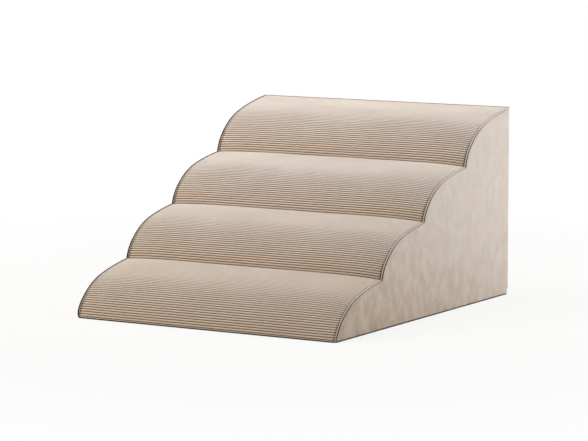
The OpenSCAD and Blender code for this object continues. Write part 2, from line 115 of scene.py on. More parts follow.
def turned(points, angle):
    c, s = math.cos(angle), math.sin(angle)
    return points @ np.array([[c, s], [-s, c]])


def eased(t):
    t = np.clip(t, 0, 1)
    return t * t * (3 - 2 * t)


def halved(a, b):
    """Direction of the mitre where a line changes heading from a to b, longer than 1."""
    first, second = outward(a), outward(b)
    return (first + second) / (1 + first @ second)


# Centres of the three arcs, from the foot of a step, and the lengths of the first two
RISER_C = -RISER_R * outward(FOOT_HEADING)
NOSE_C = RISER_C + (RISER_R - NOSE_R) * outward(NOSE_HEADING)
TREAD_C = NOSE_C + (NOSE_R - TREAD_R) * outward(TREAD_HEADING)
RISER_LEN = RISER_R * (FOOT_HEADING - NOSE_HEADING)
NOSE_LEN = NOSE_R * (NOSE_HEADING - TREAD_HEADING)

# Share of its length over which a step is searched, and how often the search halves
SEARCH_SHARE = 1.1
SEARCH_ROUNDS = 60


class Step:
    """One step of the side line: three tangent arcs, tilted together to reach the next crease."""

    def __init__(self, i):
        run, rise = STEP_RUNS[i], STEP_RISES[i]
        reach = np.linalg.norm(TREAD_C)
        swing = (run**2 + rise**2 - reach**2 - TREAD_R**2) / (2 * reach * TREAD_R)
        end_heading = math.atan2(TREAD_C[1], TREAD_C[0]) - math.asin(swing)
        end = TREAD_C + TREAD_R * outward(end_heading)
        self.i = i
        self.tilt = math.atan2(rise, run) - math.atan2(end[1], end[0])
        self.crease = np.array([STEP_RUNS[:i].sum() - BACK_Y, STEP_RISES[:i].sum()])
        self.length = RISER_LEN + NOSE_LEN + TREAD_R * (TREAD_HEADING - end_heading)
        self.first, self.final = 0.0, self.length

    def at(self, s):
        """Points and headings at arc lengths s."""
        s = np.asarray(s, float)
        arcs = [s < RISER_LEN, s < RISER_LEN + NOSE_LEN]
        heading = np.select(
            arcs,
            [FOOT_HEADING - s / RISER_R, NOSE_HEADING - (s - RISER_LEN) / NOSE_R],
            TREAD_HEADING - (s - RISER_LEN - NOSE_LEN) / TREAD_R,
        )
        radius = np.select(arcs, [RISER_R, NOSE_R], TREAD_R)[..., None]
        centre = np.select([a[..., None] for a in arcs], [RISER_C, NOSE_C], TREAD_C)
        points = self.crease + turned(centre + radius * outward(heading), self.tilt)
        return points, heading + self.tilt

    def find(self, axis, value):
        """Arc length at which the step reaches this depth (axis 0) or height (axis 1)."""
        low, high = 0.0, self.length * SEARCH_SHARE
        for _ in range(SEARCH_ROUNDS):
            middle = (low + high) / 2
            if self.at(middle)[0][axis] < value:
                low = middle
            else:
                high = middle
        return low

    def cuts(self):
        """Directions that an offset takes at the two ends, so that neighbours meet."""
        start, end = self.at(0.0)[1], self.at(self.final)[1]
        if self.i == 0:
            first = np.array([-1 / math.sin(self.at(self.first)[1]), 0])
        else:
            before = steps[self.i - 1]
            first = halved(before.at(before.length)[1], start)
        if self.i == LAST:
            last = np.array([0, 1 / math.cos(end)])
        else:
            last = halved(end, steps[self.i + 1].at(0.0)[1])
        return first, last

    def leaning(self, s, reach):
        """Normals at s that lean, within reach of an end, to that end's cut."""
        heading = self.at(s)[1]
        first, last = self.cuts()
        near_first = np.clip(1 - (s - self.first) / reach, 0, 1)
        near_final = np.clip(1 - (self.final - s) / reach, 0, 1)
        lean = near_first * (first @ along(self.at(self.first)[1]))
        lean = lean + near_final * (last @ along(self.at(self.final)[1]))
        return outward(heading) + lean[..., None] * along(heading)

    def swell(self, s):
        """How far and which way the padded crown moves the line at s, for a crown of 1."""
        rise = np.ones_like(s)
        if self.i == 0:
            rise = eased((s - self.first) / CROWN_FADE)
        if self.i == LAST:
            rise = eased((self.final - s) / CROWN_FADE)
        return rise[..., None] * self.leaning(s, CROWN_LEAN)

    def surface(self, s, x, n, crowned=True):
        """Grid of points at arc lengths s (rows) and widths x (columns), offset outwards by n."""
        points = self.at(s)[0][:, None] + self.leaning(s, THICKNESS_LEAN)[:, None] * n[..., None]
        if crowned:
            crown = CROWN_H * (1 - np.abs(np.clip(x / TREAD_HALF, -1, 1)) ** CROWN_POWER)
            points = points + self.swell(s)[:, None] * crown[None, :, None]
        wide = np.broadcast_to(x, points.shape[:2])
        return np.concatenate([wide[..., None], points], -1)


steps = [Step(i) for i in range(STEPS)]
steps[0].first = steps[0].find(1, FLOOR_TOP)
steps[LAST].final = steps[LAST].find(0, SEAM_Y)


def side_line(spacing, n=0.0):
    """The side line from foot to back: points offset by n, directions of an offset, headings."""
    points, across, headings = [], [], []
    for step in steps:
        count = max(3, int((step.final - step.first) / spacing))
        s = np.linspace(step.first, step.final, count)[: None if step.i == LAST else -1]
        points.append(step.at(s)[0])
        across.append(step.leaning(s, THICKNESS_LEAN))
        headings.append(step.at(s)[1])
    points, across = np.concatenate(points), np.concatenate(across)
    return points + across * n, across, np.concatenate(headings)


# Mesh building

WELD = 0.004 * MM
SHARP_ANGLE = math.radians(48)
# Grid lines are rounded to this many decimals of a metre before doubles are dropped
GRID_DECIMALS = 7

STITCH_L = 2.6 * MM
STITCH_R = 0.26 * MM
STITCH_PITCH = 3.8 * MM
STITCH_SIDES = 6
STITCH_RINGS = 5
# A stitch is an oval barrel, cut off at this share of the oval's half length
STITCH_END_SHARE = 0.94

# A slow wander is a sum of waves over a scale, each turning this many radians to the metre
RIPPLE_WAVES = 7
RIPPLE_RANGE = (14, 42)
RIPPLE_SCALE = 4

# The cover's bottom corners: radius in plan at the floor, and the height over which it fades
CORNER_R = 10 * MM
CORNER_H = 14 * MM
TINY = 1e-9


def mirrored(values):
    return np.concatenate([-values[::-1], values])


def grid_lines(values):
    """Grid lines in order, with doubles dropped."""
    return np.unique(values.round(GRID_DECIMALS))


def new_object(name, vertices, faces, material, shades=None):
    """An object from points and faces, welded, with smooth shading and sharp folds kept.

    shades holds values for each point, under the names that the material reads them by.
    """
    mesh = bpy.data.meshes.new(name)
    mesh.from_pydata(vertices.tolist(), [], [list(map(int, f)) for f in faces])
    for key, values in (shades or {}).items():
        mesh.attributes.new(key, "FLOAT", "POINT").data.foreach_set("value", values)
    shape = bmesh.new()
    shape.from_mesh(mesh)
    bmesh.ops.remove_doubles(shape, verts=shape.verts, dist=WELD)
    bmesh.ops.dissolve_degenerate(shape, edges=shape.edges, dist=WELD)
    shape.to_mesh(mesh)
    shape.free()
    mesh.shade_smooth()
    mesh.set_sharp_from_angle(angle=SHARP_ANGLE)
    mesh.materials.append(material)
    made = bpy.data.objects.new(name, mesh)
    bpy.context.scene.collection.objects.link(made)
    return made


def slab(name, material, outer, inner, keep=None, shades=None):
    """A closed sheet between two grids of points. keep says which cells of the grid it has.

    shades holds values for each point of the outer grid. The inner one takes 1.
    """
    rows, columns = outer.shape[:2]
    if keep is None:
        keep = np.ones((rows - 1, columns - 1), bool)
    index = np.arange(rows * columns).reshape(rows, columns)
    top = np.stack([index[:-1, :-1], index[:-1, 1:], index[1:, 1:], index[1:, :-1]], -1)[keep]
    count = rows * columns
    starts, ends = top.ravel(), np.roll(top, -1, axis=1).ravel()
    # An edge lies on the rim where no neighbouring cell runs along it the other way
    rim = ~np.isin(starts * count + ends, ends * count + starts)
    starts, ends = starts[rim], ends[rim]
    walls = np.stack([ends, starts, starts + count, ends + count], -1)
    faces = np.concatenate([top, top[:, ::-1] + count, walls])
    used, faces = np.unique(faces, return_inverse=True)
    points = np.concatenate([outer.reshape(-1, 3), inner.reshape(-1, 3)])[used]
    shades = {
        key: np.concatenate([values.ravel(), np.ones(count)])[used]
        for key, values in (shades or {}).items()
    }
    return new_object(name, points, faces.reshape(-1, 4), material, shades)


def ring_faces(count, sides):
    """Faces of a closed solid that runs through this many rings of points."""
    k = np.arange(sides)
    after = (k + 1) % sides
    first = np.arange(count - 1)[:, None] * sides
    walls = np.stack([first + k, first + after, first + sides + after, first + sides + k], -1)
    return [k[::-1].tolist(), (k + (count - 1) * sides).tolist()] + walls.reshape(-1, 4).tolist()


def copies(faces, points_each, count):
    """The faces of one solid, again for each of its copies."""
    return [[v + points_each * j for v in face] for j in range(count) for face in faces]


def ring_solid(name, material, rings):
    """A closed solid through rings that all have the same number of points."""
    rings = np.asarray(rings)
    return new_object(name, rings.reshape(-1, 3), ring_faces(*rings.shape[:2]), material)


def circle(sides):
    """Cosines and sines of evenly spread angles, as two columns."""
    angles = np.linspace(0, 2 * math.pi, sides, endpoint=False)
    return np.cos(angles)[:, None], np.sin(angles)[:, None]


def tube(name, material, centres, across, sideways, radii, sides=16):
    """A closed tube: the ring round each centre is spanned by two directions."""
    cosines, sines = circle(sides)
    spokes = cosines * across[:, None] + sines * sideways
    radii = np.broadcast_to(radii, len(centres))[:, None, None]
    return ring_solid(name, material, centres[:, None] + radii * spokes)


def stitches(name, points, directions, ups):
    """A row of short threads: each a little barrel that sinks in at both ends."""
    sides = np.cross(ups, directions)
    stations = np.linspace(-1, 1, STITCH_RINGS)[:, None, None]
    swell = np.sqrt(1 - (stations * STITCH_END_SHARE) ** 2)
    cosines, sines = circle(STITCH_SIDES)
    spokes = sides[:, None, None] * cosines + ups[:, None, None] * sines
    middles = points[:, None, None] + directions[:, None, None] * (stations * STITCH_L / 2)
    vertices = middles + STITCH_R * swell * spokes
    faces = copies(ring_faces(STITCH_RINGS, STITCH_SIDES), STITCH_RINGS * STITCH_SIDES, len(points))
    piece = new_object(name, vertices.reshape(-1, 3), faces, THREAD)
    return finished(piece, "stairs", "plush")


def ripple(a, b, seed):
    """A smooth wander between about -1 and 1 over two lengths in metres, the same on each run."""
    rng = np.random.default_rng(seed)
    total = 0
    for _ in range(RIPPLE_WAVES):
        wave = rng.uniform(*RIPPLE_RANGE, 2) * rng.choice([-1, 1], 2)
        total = total + np.sin(a * wave[0] + b * wave[1] + rng.uniform(0, 2 * math.pi))
    return total / RIPPLE_SCALE


def rolled(distance, reach, drop):
    """How far a soft edge has dropped at this distance from it: a quarter of an oval."""
    t = np.clip(1 - distance / reach, 0, 1)
    return drop * (1 - np.sqrt(1 - t * t))


def bulged(distance, reach, height):
    """How far a stretched face stands out at this distance from its edge."""
    return height * (1 - np.exp(-distance / reach))


def soft_corners(points):
    """Rounds the four bottom corners of the cover in plan, most at the floor."""
    x, y, z = np.moveaxis(points, -1, 0)
    low = np.clip(1 - (z - FLOOR_TOP) / CORNER_H, 0, 1)
    qx = np.clip(np.abs(x) - (OUTER_X - CORNER_R), 0, None)
    qy = np.clip(np.abs(y) - (BACK_Y - CORNER_R), 0, None)
    both = np.maximum(np.hypot(qx, qy), TINY)
    keep = 1 - low * (1 - np.maximum(qx, qy) / both) * (np.minimum(qx, qy) > 0)
    new_x = np.sign(x) * (np.abs(x) - qx * (1 - keep))
    new_y = np.sign(y) * (np.abs(y) - qy * (1 - keep))
    return np.stack([new_x, new_y, z], -1)


# Materials

# Heights over which the corduroy loses the warmer painted shade that it has near the floor
FLOOR_SHADE_RANGE = (0, 300 * MM)
# Heights over which the plush's browner painted shade fades out, and how they shift with depth and patch
LOW_SHADE_RANGE = (-50 * MM, 330 * MM)
LOW_SHADE_PER_DEPTH = 0.3
LOW_SHADE_PER_PATCH = 0.12
# Painted shade in a foam's pores: their brightness beside its walls
PAINTED_PORE_SHADE = 0.78


def srgb(r, g, b):
    """A colour written in 0 to 255 as the linear colour that a shader takes."""
    channels = (r / 255, g / 255, b / 255)
    return tuple(c / 12.92 if c <= 0.04045 else ((c + 0.055) / 1.055) ** 2.4 for c in channels) + (1.0,)


def add_node(tree, kind, inputs=None, **settings):
    """A shader node whose inputs are sockets of other nodes or plain values."""
    node = tree.nodes.new("ShaderNode" + kind)
    for key, value in settings.items():
        setattr(node, key, value)
    for key, value in (inputs or {}).items():
        if isinstance(value, bpy.types.NodeSocket):
            tree.links.new(value, node.inputs[key])
        else:
            node.inputs[key].default_value = value
    return node


class Finish:
    """A procedural material, with short names for the nodes that it is made of."""

    def __init__(self, name, roughness, **values):
        self.material = bpy.data.materials.new(name)
        self.material.use_nodes = True
        self.tree = self.material.node_tree
        self.shader = self.tree.nodes["Principled BSDF"]
        self.shader.inputs["Roughness"].default_value = roughness
        for key, value in values.items():
            self.shader.inputs[key.replace("_", " ")].default_value = value
        self.place = self.add("TexCoord").outputs["Object"]

    def add(self, kind, inputs=None, **settings):
        return add_node(self.tree, kind, inputs, **settings)

    def link(self, value, socket):
        self.tree.links.new(value, self.shader.inputs[socket])

    def stretched(self, scale):
        return self.add("VectorMath", {0: self.place, 1: scale}, operation="MULTIPLY").outputs[0]

    def noise(self, scale, detail=2.0, roughness=0.5):
        """Noise from 0 to 1 with these features per metre along X, Y and Z."""
        inputs = {"Vector": self.stretched(scale), "Scale": 1.0, "Detail": detail, "Roughness": roughness}
        return self.add("TexNoise", inputs).outputs["Fac"]

    def weave(self, scale, direction="X"):
        inputs = {"Vector": self.stretched(scale), "Scale": 1.0, "Distortion": 0.0}
        return self.add("TexWave", inputs, bands_direction=direction).outputs["Fac"]

    def shade(self, name):
        """A value that the mesh holds for each point."""
        return self.add("Attribute", attribute_name=name).outputs["Fac"]

    def spread(self, value, low, high, to_low=0.0, to_high=1.0):
        inputs = {"Value": value, "From Min": low, "From Max": high, "To Min": to_low, "To Max": to_high}
        return self.add("MapRange", inputs, interpolation_type="SMOOTHSTEP").outputs[0]

    def times(self, a, b):
        return self.add("Math", {0: a, 1: b}, operation="MULTIPLY").outputs[0]

    def plus(self, a, b):
        return self.add("Math", {0: a, 1: b}, operation="ADD").outputs[0]

    def mix(self, share, first, second):
        return self.add("Mix", {0: share, 6: first, 7: second}, data_type="RGBA").outputs[2]

    def bump(self, height, distance, strength=1.0, under=None):
        inputs = {"Height": height, "Distance": distance, "Strength": strength}
        if under is not None:
            inputs["Normal"] = under
        return self.add("Bump", inputs).outputs[0]

    def done(self, colour, normal):
        self.link(colour, "Base Color")
        self.link(normal, "Normal")
        return self.material


def corduroy():
    """Pale crests and brown grooves darkened by painted shade; crests tinted warmer on the risers as
    painted light, and a warmer painted shade towards the floor.
    """
    f = Finish("corduroy", 0.95, Sheen_Weight=0.16, Sheen_Roughness=0.5, Specular_IOR_Level=0.3)
    # groove holds painted shade for grooves, seam edges and creases; steep tints the risers' crests with
    # painted light
    groove, steep = f.shade("groove"), f.shade("steep")
    fibre = f.noise((500, 1500, 1500), detail=3.0)
    cloud = f.noise((9, 16, 16))
    height = f.add("SeparateXYZ", {0: f.place}).outputs[2]
    # Painted warm shade near the floor, mixed into the crests
    low = f.spread(height, *FLOOR_SHADE_RANGE, 1.0, 0.0)
    crest = f.mix(f.spread(cloud, 0.3, 0.7), srgb(212, 200, 189), srgb(219, 208, 198))
    crest = f.mix(f.times(low, 0.6), crest, srgb(214, 196, 175))
    # Painted light: crests on the steep risers tinted warmer and brighter
    crest = f.mix(f.times(steep, 0.6), crest, srgb(236, 208, 180))
    # Painted shade: grooves, seam edges and creases mixed towards dark brown
    tone = f.mix(f.spread(groove, 0.18, 0.85), crest, srgb(76, 46, 24))
    tone = f.mix(f.spread(fibre, 0.3, 0.75, 0.0, 0.25), tone, srgb(186, 162, 136))
    return f.done(tone, f.bump(fibre, 0.25 * MM, 0.5))


def plush():
    """Brushed streaks and soft patches, with a browner painted shade low down that rises to the front
    foot.
    """
    f = Finish("plush", 0.9, Sheen_Weight=0.3, Sheen_Roughness=0.4)
    streak = f.noise((46, 44, 30), detail=4.0, roughness=0.55)
    patch = f.noise((13, 13, 9))
    blush = f.noise((22, 24, 17), detail=1.0)
    nap = f.noise((1300, 1300, 900))
    depth, height = f.add("SeparateXYZ", {0: f.place}).outputs[1:3]
    # Painted shade: browner low down, reaching higher towards the front foot and in patches
    shift = f.plus(f.times(depth, LOW_SHADE_PER_DEPTH), f.times(patch, LOW_SHADE_PER_PATCH))
    low = f.spread(f.plus(height, shift), *LOW_SHADE_RANGE, 1.0, 0.0)
    tone = f.mix(f.spread(streak, 0.3, 0.7), srgb(224, 212, 201), srgb(234, 226, 218))
    tone = f.mix(f.spread(patch, 0.35, 0.7, 0.0, 0.4), tone, srgb(222, 213, 204))
    tone = f.mix(f.spread(blush, 0.45, 0.7, 0.0, 0.55), tone, srgb(232, 216, 209))
    shaded_tone = f.mix(f.spread(streak, 0.32, 0.68), srgb(196, 177, 156), srgb(220, 203, 184))
    tone = f.mix(low, tone, shaded_tone)
    tone = f.mix(f.spread(nap, 0.35, 0.8, 0.0, 0.2), tone, srgb(202, 184, 165))
    return f.done(tone, f.bump(nap, 0.2 * MM, 0.5, f.bump(streak, 0.5 * MM, 0.3)))


def cloth(name, dark, light, threads, sheen=0.15):
    """A plain woven cloth of two close tones, with its threads this many to the metre."""
    f = Finish(name, 0.95, Sheen_Weight=sheen, Sheen_Roughness=0.5, Specular_IOR_Level=0.15)
    warp = f.weave((threads, 0, 0))
    weft = f.weave((0, threads, threads), "DIAGONAL")
    mesh = f.times(warp, weft)
    slub = f.noise((160, 160, 160))
    tone = f.mix(f.spread(f.plus(mesh, slub), 0.4, 1.2), dark, light)
    return f.done(tone, f.bump(mesh, 0.12 * MM, 0.6))


def rubber():
    f = Finish("rubber_dots", 0.55)
    speck = f.noise((700, 700, 700), detail=3.0)
    tone = f.mix(f.spread(speck, 0.35, 0.7), srgb(46, 43, 41), srgb(60, 56, 53))
    return f.done(tone, f.bump(speck, 0.05 * MM, 0.5))


def foam(name, tone, pores, depth):
    """Open cells, this many to the metre, with painted shade inside."""
    f = Finish(name, 0.95)
    cells = f.add("TexVoronoi", {"Vector": f.stretched((pores, pores, pores)), "Scale": 1.0}).outputs[0]
    pore = tuple(c * PAINTED_PORE_SHADE for c in tone[:3]) + (1.0,)
    return f.done(f.mix(f.spread(cells, 0.1, 0.6), pore, tone), f.bump(cells, depth, 0.6))


def nylon():
    f = Finish("zip_nylon", 0.42)
    speck = f.noise((900, 900, 900))
    tone = f.mix(f.spread(speck, 0.3, 0.7), srgb(188, 172, 152), srgb(200, 186, 168))
    return f.done(tone, f.bump(speck, 0.02 * MM, 0.4))


def metal():
    """Brushed along X, with lighter spots of wear."""
    f = Finish("zip_metal", 0.34, Metallic=1.0)
    brush = f.noise((260, 2600, 2600), detail=3.0)
    wear = f.noise((220, 220, 220))
    f.link(f.spread(brush, 0.25, 0.75, 0.26, 0.42), "Roughness")
    tone = f.mix(f.spread(wear, 0.4, 0.7), srgb(168, 164, 158), srgb(190, 187, 182))
    return f.done(tone, f.bump(brush, 0.02 * MM, 0.4))


CORDUROY = corduroy()
PLUSH = plush()
PIPING = cloth("piping_cloth", srgb(214, 202, 188), srgb(236, 227, 216), 1800)
# A dark cloth for the cords that paint the shade at the seams
SHADE_CORD = cloth("painted_shade_cloth", srgb(58, 46, 38), srgb(84, 69, 57), 1600, sheen=0.0)
THREAD = cloth("thread", srgb(196, 182, 165), srgb(222, 211, 197), 2600)
BASE = cloth("base_cloth", srgb(62, 54, 47), srgb(84, 75, 66), 1200, sheen=0.0)
TAPE = cloth("zip_tape_cloth", srgb(176, 160, 140), srgb(198, 184, 166), 1500)
RUBBER = rubber()
WADDING = foam("wadding", srgb(240, 239, 236), 260, 0.4 * MM)
FOAM = foam("foam", srgb(240, 234, 212), 700, 0.3 * MM)


def finished(piece, body, slot, *replaced):
    """Says which body a piece rides on and which nodes it stands for. The slot is not used."""
    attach(piece, body)
    if replaced:
        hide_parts(*replaced)
    return piece


# Cover: corduroy

RIB_PITCH = 5.2 * MM
RIB_DEPTH = 1.7 * MM
RIB_POINTS = 10
RIB_POWER = 2.2
FRONT_HEM = 2.8 * MM
HEM_POINTS = 8
# Distances of the grid's columns from the side seam, and how many more each middle half has
NEAR_COLUMNS = np.array([0, 0.3, 0.8, 1.5, 2.4, 3.6, 5, 7, 10, 15, 22, 32, 45, 62, 82, 105]) * MM
MIDDLE_COLUMNS = 7

# The panel rolls into its side seams, where its ribs die down, and folds into the creases
EDGE_ROLL = 1.7 * MM
EDGE_REACH = 5 * MM
SEAM_REACH = 7 * MM
SEAM_RIB_SHARE = 0.45
CREASE_ROLL = 1.3 * MM
CREASE_REACH = 2.4 * MM
# The panel's back lies deeper than its thickness, for the sake of the rolled edge
PANEL_BACK_N = -CORD_T - 0.4 * EDGE_ROLL
TREAD_WANDER = 0.25 * MM
TREAD_WANDER_REACH = 60 * MM
TREAD_SEED = 11

# Slopes in degrees: a tread's steepest, a riser's, and how much further the painted groove shade takes to
# reach full strength
TREAD_SLOPE = 16
RISER_SLOPE = 72
GROOVE_SHADE_SLOPE = 36
# Share of the full painted groove shade that a tread has
TREAD_GROOVE_SHADE_SHARE = 0.65
# Painted shade where the side seam pinches the nap, and the share of it that a tread has
SEAM_SHADE = 0.75
SEAM_SHADE_REACH = 7 * MM
SEAM_SHADE_SHARE = 0.4


def tread_columns():
    near = TREAD_HALF - NEAR_COLUMNS[::-1]
    middle = np.linspace(0, near[0], MIDDLE_COLUMNS, endpoint=False)
    return grid_lines(mirrored(np.concatenate([middle, near])))


def rib_run(step):
    """Arc length at which the ribs of a step start, and how many it has."""
    first = step.first + (FRONT_HEM if step.i == 0 else 0)
    return first, round((step.final - first) / RIB_PITCH)


def tread_rows(step):
    first, count = rib_run(step)
    hem = np.linspace(step.first, first, HEM_POINTS)[:-1] if step.i == 0 else np.array([])
    return np.concatenate([hem, np.linspace(first, step.final, count * RIB_POINTS + 1)])


def grooves(step, s):
    """Groove depth, from 0 on a crest to 1 in a groove, at arc lengths s."""
    first, count = rib_run(step)
    phase = (s - first) / (step.final - first) * count
    groove = np.abs(2 * (phase % 1) - 1) ** RIB_POWER
    hem = eased((s - first + FRONT_HEM / 2) / (FRONT_HEM / 2))
    return np.where(s < first, hem, groove)


def tread_shades(step, s, groove, fold, to_side):
    """Painted shade for the grooves, the seam edges and the creases, and how steeply the cloth lies,
    which the material reads.
    """
    slope = np.degrees(step.at(s)[1])[:, None]
    steep = eased((slope - TREAD_SLOPE) / (RISER_SLOPE - TREAD_SLOPE))
    groove_shade_share = TREAD_GROOVE_SHADE_SHARE + (1 - TREAD_GROOVE_SHADE_SHARE) * eased((slope - TREAD_SLOPE) / GROOVE_SHADE_SLOPE)
    painted_seam_shade = SEAM_SHADE * (1 - eased(to_side / SEAM_SHADE_REACH))
    painted_seam_shade = painted_seam_shade * (SEAM_SHADE_SHARE + (1 - SEAM_SHADE_SHARE) * steep)
    # Painted shade: in the grooves, more on risers, at the seam's edge and in the creases' folds
    dark = np.clip(groove * groove_shade_share + painted_seam_shade + fold / CREASE_ROLL, 0, 1)
    return {"groove": dark, "steep": np.broadcast_to(steep, dark.shape)}


def tread(step):
    """The ribbed panel of one step, from crease to crease."""
    s, x = tread_rows(step), tread_columns()
    groove = grooves(step, s)[:, None]
    to_side = TREAD_HALF - np.abs(x)[None, :]
    ends = (s - step.first, step.final - s)
    fold = sum(rolled(end, CREASE_REACH, CREASE_ROLL) for end in ends)[:, None]
    height_share = SEAM_RIB_SHARE + (1 - SEAM_RIB_SHARE) * eased(to_side / SEAM_REACH)
    wander = TREAD_WANDER * ripple(x[None, :], s[:, None], TREAD_SEED + step.i)
    wander = wander * eased(to_side / TREAD_WANDER_REACH)
    n = wander - RIB_DEPTH * groove * height_share - rolled(to_side, EDGE_REACH, EDGE_ROLL) - fold
    outer = soft_corners(step.surface(s, x, n))
    inner = soft_corners(step.surface(s, x, np.full_like(n, PANEL_BACK_N)))
    # Painted shade and slope, for the material to read
    shades = tread_shades(step, s, groove, fold, to_side)
    piece = slab(f"corduroy_{step.i + 1}", CORDUROY, outer, inner, shades=shades)
    finished(piece, "stairs", "corduroy", f"tread_panel_{step.i + 1}")


# Cover: piping and dark welt

# Slope in degrees from which the seam's cords grow, and how much more brings their full size
CORD_SLOPE = 15
CORD_SLOPE_RANGE = 40
CORD_SPACING = 2.5 * MM
# The light cord: radius, place outside the corduroy and below its crests, share of the radius
# on a tread, and how much deeper it sinks there
PIPING_R = {"left": 0.9 * MM, "right": 1.25 * MM}
PIPING_OUT = {"left": 0.75 * MM, "right": 0.85 * MM}
PIPING_N = {"left": -0.7 * MM, "right": -0.3 * MM}
PIPING_THIN_SHARE = 0.75
PIPING_SINK = 0.75 * MM
# The dark cord outside it, painted shade for the seam's gap and the piping's unlit flank, which the
# photograph shows wider on the left
SHADE_CORD_R = {"left": 1.8 * MM, "right": 0.95 * MM}
SHADE_CORD_IN = 1.0 * MM
SHADE_CORD_N = {"left": -0.6 * MM, "right": -1.0 * MM}
SHADE_CORD_THIN_SHARE = {"left": 0.75, "right": 0.4}
SHADE_CORD_SINK = {"left": 0.4 * MM, "right": 1.6 * MM}
# The dark cord of painted shade along the top back edge
BACK_SHADE_CORD_R = 0.7 * MM
BACK_SHADE_CORD_UP = 0.05 * MM
BACK_SHADE_CORD_RINGS = 60


def seam_cords(label, side):
    """The two cords of one side seam: the light piping, and outside it a dark cord of painted shade."""
    line, across, headings = side_line(CORD_SPACING)
    up = np.concatenate([np.zeros((len(across), 1)), across], -1)
    steep = eased((np.degrees(headings) - CORD_SLOPE) / CORD_SLOPE_RANGE)

    def cord(name, material, x, n, sink, radius, thin_share):
        offset = across * (n - sink * (1 - steep))[:, None]
        centres = np.concatenate([np.full((len(line), 1), side * x), line + offset], -1)
        radii = radius * (thin_share * (1 - steep) + steep)
        return tube(name, material, soft_corners(centres), up, X_AXIS, radii)

    light = cord(
        f"piping_{label}_cord", PIPING, TREAD_HALF + PIPING_OUT[label],
        PIPING_N[label], PIPING_SINK, PIPING_R[label], PIPING_THIN_SHARE,
    )
    finished(light, "stairs", "piping", f"piping_{label}")
    # Painted shade: a dark cord outside the piping
    dark = cord(
        f"shade_cord_{label}", SHADE_CORD, OUTER_X - SHADE_CORD_IN,
        SHADE_CORD_N[label], SHADE_CORD_SINK[label], SHADE_CORD_R[label], SHADE_CORD_THIN_SHARE[label],
    )
    finished(dark, "stairs", "non_slip")


def back_shade_cord():
    """Dark cord of painted shade along the seam between the top step and the back."""
    x = np.linspace(-1, 1, BACK_SHADE_CORD_RINGS) * (OUTER_X - SHADE_CORD_IN)
    y = np.full_like(x, BACK_Y - BACK_SHADE_CORD_R)
    z = np.full_like(x, CREST_Z + BACK_SHADE_CORD_UP)
    across = np.tile(Y_AXIS, (len(x), 1))
    piece = tube("shade_cord_back", SHADE_CORD, np.stack([x, y, z], -1), across, Z_AXIS, BACK_SHADE_CORD_R, sides=12)
    finished(piece, "stairs", "non_slip")


# Cover: side panels

# Top of the panel below the rib crests, and the form of its face
SIDE_TOP_N = -1.5 * MM
SIDE_BULGE = 2.2 * MM
SIDE_BULGE_REACH = 40 * MM
SIDE_ROLL_R = 2.4 * MM
SIDE_WANDER = 0.5 * MM
SIDE_WANDER_REACH = 50 * MM
SIDE_WANDER_STRETCH = 0.6
SIDE_SEED = 5
# Its grid: the spacing of the columns, then rows at distances from the seam, and below the last
# of these at shares of the way down to the floor, closer together at its end
SIDE_SPACING = 3.2 * MM
SIDE_INSETS = np.array([0, 0.15, 0.4, 0.8, 1.3, 1.9, 2.8, 4, 6]) * MM
MIDDLE_ROW_SHARES = np.linspace(0, 1, 24)[1:-4]
LOW_ROW_SHARES = 1 - np.array([0.04, 0.02, 0.01, 0.005, 0.7 / 300, 0.001, 0])
# How steeply the panel's top runs on past the back seam
BACK_END_SLOPE = 0.12
# Spacing of the samples of its outline, and how many points are measured to them at a time
OUTLINE_SPACING = 0.8 * MM
CHUNK = 2000
# The row of stitches beside the seam, and its threads left out where the seam ends
SIDE_STITCH_IN = 3.6 * MM
SIDE_STITCH_OUT = 0.1 * MM
STITCHES_WITHIN = slice(2, -1)


def resampled(points, spacing):
    gaps = np.linalg.norm(np.diff(points, axis=0), axis=1)
    place = np.concatenate([[0], np.cumsum(gaps)])
    wanted = np.linspace(0, place[-1], int(place[-1] / spacing))
    return np.stack([np.interp(wanted, place, points[:, k]) for k in range(2)], -1)


def edge_distance(points, outline):
    """Distance in the YZ plane from each point to the nearest sample of the outline."""
    flat = points.reshape(-1, 2)
    found = np.empty(len(flat))
    for start in range(0, len(flat), CHUNK):
        part = flat[start : start + CHUNK]
        gaps = np.linalg.norm(part[:, None] - outline[None], axis=-1)
        found[start : start + CHUNK] = gaps.min(1)
    return found.reshape(points.shape[:-1])


def side_face(distance):
    """How far the soft panel stands out of its flat face, at a distance from its edge."""
    return bulged(distance, SIDE_BULGE_REACH, SIDE_BULGE) - rolled(distance, SIDE_ROLL_R, SIDE_ROLL_R)


def side_grid():
    """Points of the side panel in Y and Z: rows follow the seam, then fan down to the floor."""
    line, across = side_line(SIDE_SPACING)[:2]
    past = BACK_Y - SEAM_Y
    line = np.concatenate([line, [line[-1] + [past, past * BACK_END_SLOPE]]])
    across = np.concatenate([across, across[-1:]])
    rows = [line + across * (SIDE_TOP_N - inset) for inset in SIDE_INSETS]
    top = rows[-1]
    for share in np.concatenate([MIDDLE_ROW_SHARES, LOW_ROW_SHARES]):
        height = top[:, 1] + (FLOOR_TOP - top[:, 1]) * share
        rows.append(np.stack([top[:, 0], height], -1))
    grid = np.stack(rows)
    grid[..., 0] = np.minimum(grid[..., 0], BACK_Y)
    grid[..., 1] = np.maximum(grid[..., 1], FLOOR_TOP)
    return grid


